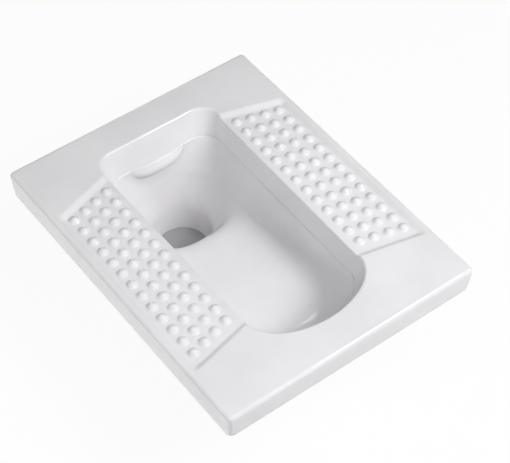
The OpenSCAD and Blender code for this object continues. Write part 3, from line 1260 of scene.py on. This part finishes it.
@dataclass
class Ribs(Piece):
    """Three cast webs between the rim box and the skirt."""

    kind: str = "ribs"
    slot: Slot = Slot.BARE
    inner_x: float = 132.0
    outer_x: float = 206.0
    inner_h: float = 28.0
    outer_h: float = 20.0
    thickness: float = 8.0
    pitch: float = 110.0
    rounding: float = 2.0
    rounding_steps: int = 4

    def shape(self) -> None:
        """Models the webs, which hang lower at the mouth than at the skirt, with sponged edges."""
        size = Vector((self.outer_x - self.inner_x, self.thickness, self.inner_h))
        for i in (-1, 0, 1):
            middle = Vector((
                self.side * (self.inner_x + self.outer_x) / 2, (PLAN.back + PLAN.front) / 2 + i * self.pitch,
                PLAN.under - self.inner_h / 2,
            )) * MM
            made = bmesh.ops.create_cube(self.bm, size=1.0)["verts"]
            bmesh.ops.scale(self.bm, verts=made, vec=size * MM)
            bmesh.ops.translate(self.bm, verts=made, vec=middle)
            low = [v for v in made if v.co.z < middle.z]
            for vert in low:
                if abs(vert.co.x) > abs(middle.x):
                    vert.co.z += (self.inner_h - self.outer_h) * MM
            edges = {e for v in low for e in v.link_edges if e.other_vert(v) in low}
            edges = [e for e in edges if abs(e.verts[0].co.x - e.verts[1].co.x) > MM]
            bmesh.ops.bevel(
                self.bm, geom=edges, offset=self.rounding * MM, affect="EDGES", segments=self.rounding_steps,
                profile=ROUND_BEVEL, material=-1,
            )


@dataclass
class Foot(Spun):
    """A cast leg with a pad, under the front of the bowl."""

    kind: str = "foot"
    slot: Slot = Slot.BARE
    spin_steps: int = 72
    corner_steps: int = 6
    leg_r: float = 18.0
    pad_r: float = 26.0
    pad_h: float = 10.0
    height: float = 101.0
    side_in: float = 44.0
    front_in: float = 112.0

    @property
    def profile(self) -> Profile:
        """The profile's corners, with a hollow curve from the leg into its pad."""
        return [
            (ON_AXIS, 0, 0), (self.pad_r, 0, 1.5), (self.pad_r, self.pad_h, 3.0), (self.leg_r, self.pad_h, 5.0),
            (self.leg_r, self.height, 0), (ON_AXIS, self.height, 0),
        ]

    @property
    def place(self) -> Matrix:
        """The move to the foot's side of the pan."""
        return at(self.side * (PLAN.mouth_half - self.side_in), PLAN.front + self.front_in, 0)


@dataclass
class InletSeal(InletPiece):
    """Finned rubber bush in the horn, with a flange on its end."""

    kind: str = "inlet_seal"
    slot: Slot = Slot.RUBBER
    corner_steps: int = 3
    bore_r: float = 16.0
    core_r: float = 20.0
    fin_r: float = 21.8
    fin_h: float = 3.0
    fin_slope: tuple[float, float] = (0.6, 0.4)
    fins: int = 3
    length: float = 23.0
    flange_r: float = 28.0
    flange_t: float = 4.0

    @property
    def profile(self) -> Profile:
        """The profile's corners."""
        pitch, end = (self.length - self.fin_h) / self.fins, self.length + self.flange_t
        points = [(self.bore_r, 0, 0.6), (self.core_r, 0, 0.0)]
        for foot in (i * pitch for i in range(self.fins)):
            points += [
                (self.fin_r, foot + self.fin_slope[0], 0.5), (self.fin_r, foot + self.fin_h - self.fin_slope[1], 0.5),
                (self.core_r, foot + self.fin_h, 0.0), (self.core_r, foot + pitch, 0.0),
            ]
        return points + [
            (self.core_r, self.length, 0.0), (self.flange_r, self.length, 0.5), (self.flange_r, end, 1.2),
            (self.bore_r, end, 1.0),
        ]


@dataclass
class OutletSeal(Spun):
    """Rubber ring in the spigot's seat, with a lip round its middle."""

    kind: str = "outlet_seal"
    slot: Slot = Slot.RUBBER
    spin_steps: int = 128
    inner_r: float = 49.2
    band_r: float = 52.5
    lip: float = 3.0
    lip_t: float = 2.5
    height: float = 12.0
    foot_z: float = 17.0

    @property
    def profile(self) -> Profile:
        """The profile's corners."""
        middle = self.height / 2
        return [
            (self.inner_r, 0, 0.4), (self.band_r, 0, 0.6), (self.band_r + self.lip, middle, 0.9),
            (self.band_r, middle + self.lip_t, 0.6), (self.band_r, self.height, 0.8), (self.inner_r, self.height, 0.4),
        ]


# ---- Studio ----


def orbit(aim: Matrix, azimuth_deg: float, elevation_deg: float, distance: float, roll_deg: float = 0.0) -> Matrix:
    """Poses a camera or a lamp so that it faces an aim.

    Args:
        aim: The move to the place that it faces.
        azimuth_deg: Its bearing, counterclockwise from the front.
        elevation_deg: How high it stands, as an angle.
        distance: How far away it stands, in metres.
        roll_deg: Its turn about the line of sight.

    Returns:
        The pose.
    """
    for angle, axis in ((azimuth_deg, "Z"), (90 - elevation_deg, "X"), (roll_deg, "Z")):
        aim = aim @ Matrix.Rotation(math.radians(angle), 4, axis)
    return aim @ Matrix.Translation((0, 0, distance))


@dataclass(frozen=True)
class Lamp:
    """A square soft box over the deck, with its power in watts and its size and distance in metres.

    The broad ones light the pan, and the two highlight lamps only show in the glaze.
    """

    name: str
    azimuth_deg: float
    elevation_deg: float
    power: float
    size: float = 1.0
    distance: float = 1.5
    highlight: bool = False

    def hang(self) -> None:
        """Hangs the box so that it faces the pan."""
        data = bpy.data.lights.new(self.name, "AREA")
        data.shape, data.size, data.energy = "SQUARE", self.size, self.power
        box = add_object(self.name, data)
        box.visible_diffuse, box.visible_glossy = not self.highlight, self.highlight
        box.matrix_world = orbit(at(0, 0, PLAN.top), self.azimuth_deg, self.elevation_deg, self.distance)


@dataclass(frozen=True)
class Studio:
    """Pale sweep, soft lamps and the camera at the photograph's angle."""

    photo_w: float = 510.0
    focal_px: float = 1650.0
    distance: float = 2.36
    azimuth_deg: float = -38.1
    elevation_deg: float = 49.9
    roll_deg: float = 1.2
    aim_mm: tuple[float, float] = (7.9, -33.8)
    sensor_mm: float = 36.0
    sight_m: float = 50.0
    floor_half_m: float = 6.0
    floor_hex: str = "F4F4F5"
    floor_glow: float = 0.94
    # A disc of painted shade on the floor under the outlet: its grey and its radius in millimetres.
    painted_shade_hex: str = "A6A6A8"
    painted_shade_r_mm: float = 43.0
    world_light: float = 0.05
    world_seen: float = 0.5
    lamps: tuple[Lamp, ...] = (
        Lamp("key_box", 40, 53, 27.5, size=1.2, distance=2.3),
        Lamp("key_spot", 22, 44, 17.0, size=0.6, distance=2.3),
        Lamp("top_box", -45, 68, 4.6),
        Lamp("left_box", -90, 12, 7.0),
        Lamp("back_box", -120, 16, 1.2),
        Lamp("edge_light", 48, 54, 8.0, size=0.3, highlight=True),
        Lamp("stud_light", 160, 18, 1.4, size=0.3, highlight=True),
    )

    def camera(self) -> None:
        """Sets the camera up as the photograph was taken."""
        data = bpy.data.cameras.new("camera")
        data.sensor_width = self.sensor_mm
        data.lens = self.sensor_mm * self.focal_px / self.photo_w
        data.clip_end = self.sight_m
        camera = bpy.context.scene.camera = add_object("camera", data)
        camera.matrix_world = orbit(
            at(*self.aim_mm, PLAN.top), self.azimuth_deg, self.elevation_deg, self.distance, self.roll_deg,
        )

    @staticmethod
    def seen(tree: NodeTree) -> NodeSocket:
        """Adds a share of 1 for camera, glossy and transmission rays and 0 for others.

        Args:
            tree: The node tree of the floor or the world.

        Returns:
            The socket that gives the share.
        """
        path = add_node(tree, "ShaderNodeLightPath")
        share = path.outputs["Is Camera Ray"]
        for ray in ("Is Glossy Ray", "Is Transmission Ray"):
            share = add_node(
                tree, "ShaderNodeMath", {0: share, 1: path.outputs[ray]}, operation="MAXIMUM",
            ).outputs[0]
        return share

    def sweep(self) -> Material:
        """Builds the floor's material: matt and pale to light, nearly white to the camera and in reflections.

        Returns:
            The material, with a grey disc of painted shade under the outlet. The disc also gets no glow, so the floor
            seen down the outlet looks shadowed.
        """
        material = bpy.data.materials.new("pale_sweep")
        tree = empty_tree(material)
        place = add_node(tree, "ShaderNodeTexCoord").outputs["Object"]
        away = add_node(
            tree, "ShaderNodeVectorMath", {0: place, 1: (0.0, PLAN.outlet_y * MM, 0.0)}, operation="DISTANCE",
        )
        # 1 outside the disc of painted shade. Inside it the floor is grey and gets no glow, painted as the shadow down
        # the outlet.
        clear = add_node(
            tree, "ShaderNodeMath", {0: away.outputs["Value"], 1: self.painted_shade_r_mm * MM}, operation="GREATER_THAN",
        ).outputs[0]
        tone = add_node(
            tree, "ShaderNodeMix",
            {MIX_SHARE: clear, MIX_A: linear(self.painted_shade_hex), MIX_B: linear(self.floor_hex)}, data_type="RGBA",
        )
        matt = add_node(tree, "ShaderNodeBsdfDiffuse", {"Color": tone.outputs[MIX_OUT]})
        glow = add_node(tree, "ShaderNodeEmission", {"Color": WHITE, "Strength": 1.0})
        share = self.seen(tree)
        for factor in (clear, self.floor_glow):
            share = add_node(tree, "ShaderNodeMath", {0: share, 1: factor}, operation="MULTIPLY").outputs[0]
        both = add_node(tree, "ShaderNodeMixShader", {0: share, 1: matt.outputs[0], 2: glow.outputs[0]})
        add_node(tree, "ShaderNodeOutputMaterial", {"Surface": both.outputs[0]})
        return material

    def floor(self) -> None:
        """Lays the pale floor under the pan."""
        bm = bmesh.new()
        bmesh.ops.create_grid(bm, x_segments=1, y_segments=1, size=self.floor_half_m)
        mesh = bpy.data.meshes.new("floor")
        bm.to_mesh(mesh)
        bm.free()
        mesh.materials.append(self.sweep())
        floor = add_object("floor", mesh)

    def world(self) -> None:
        """Lights the scene evenly and faintly, brighter to the camera and in reflections."""
        world = bpy.context.scene.world = bpy.data.worlds.new("studio")
        tree = empty_tree(world)
        level = add_node(
            tree, "ShaderNodeMapRange",
            {"Value": self.seen(tree), "To Min": self.world_light, "To Max": self.world_seen},
        )
        sky = add_node(tree, "ShaderNodeBackground", {"Color": WHITE, "Strength": level.outputs["Result"]})
        add_node(tree, "ShaderNodeOutputWorld", {"Surface": sky.outputs[0]})

    def build(self) -> None:
        """Sets up the camera, the floor, the world and the lamps."""
        self.camera()
        self.floor()
        self.world()
        for lamp in self.lamps:
            lamp.hang()
        bpy.context.scene.view_settings.view_transform = "Standard"


def main() -> None:
    """Builds the pan and the studio."""
    logging.basicConfig(level=logging.INFO, format="%(name)s: %(message)s")
    finishes = {
        Slot.GLAZED: Glaze().material(), Slot.BARE: Bisque().material(), Slot.RUBBER: SealRubber().material(),
    }
    pieces: list[Piece] = [
        Deck(), Tread(side=1), Tread(side=-1), RimWall(), RimBox(), Bowl(), Spreader(), OutletSpigot(),
        InletHorn(), Ribs(side=1), Ribs(side=-1), Foot(side=1), Foot(side=-1), InletSeal(), OutletSeal(),
    ]
    for piece in pieces:
        piece.build(finishes)
    Studio().build()


if __name__ == "__main__":
    main()
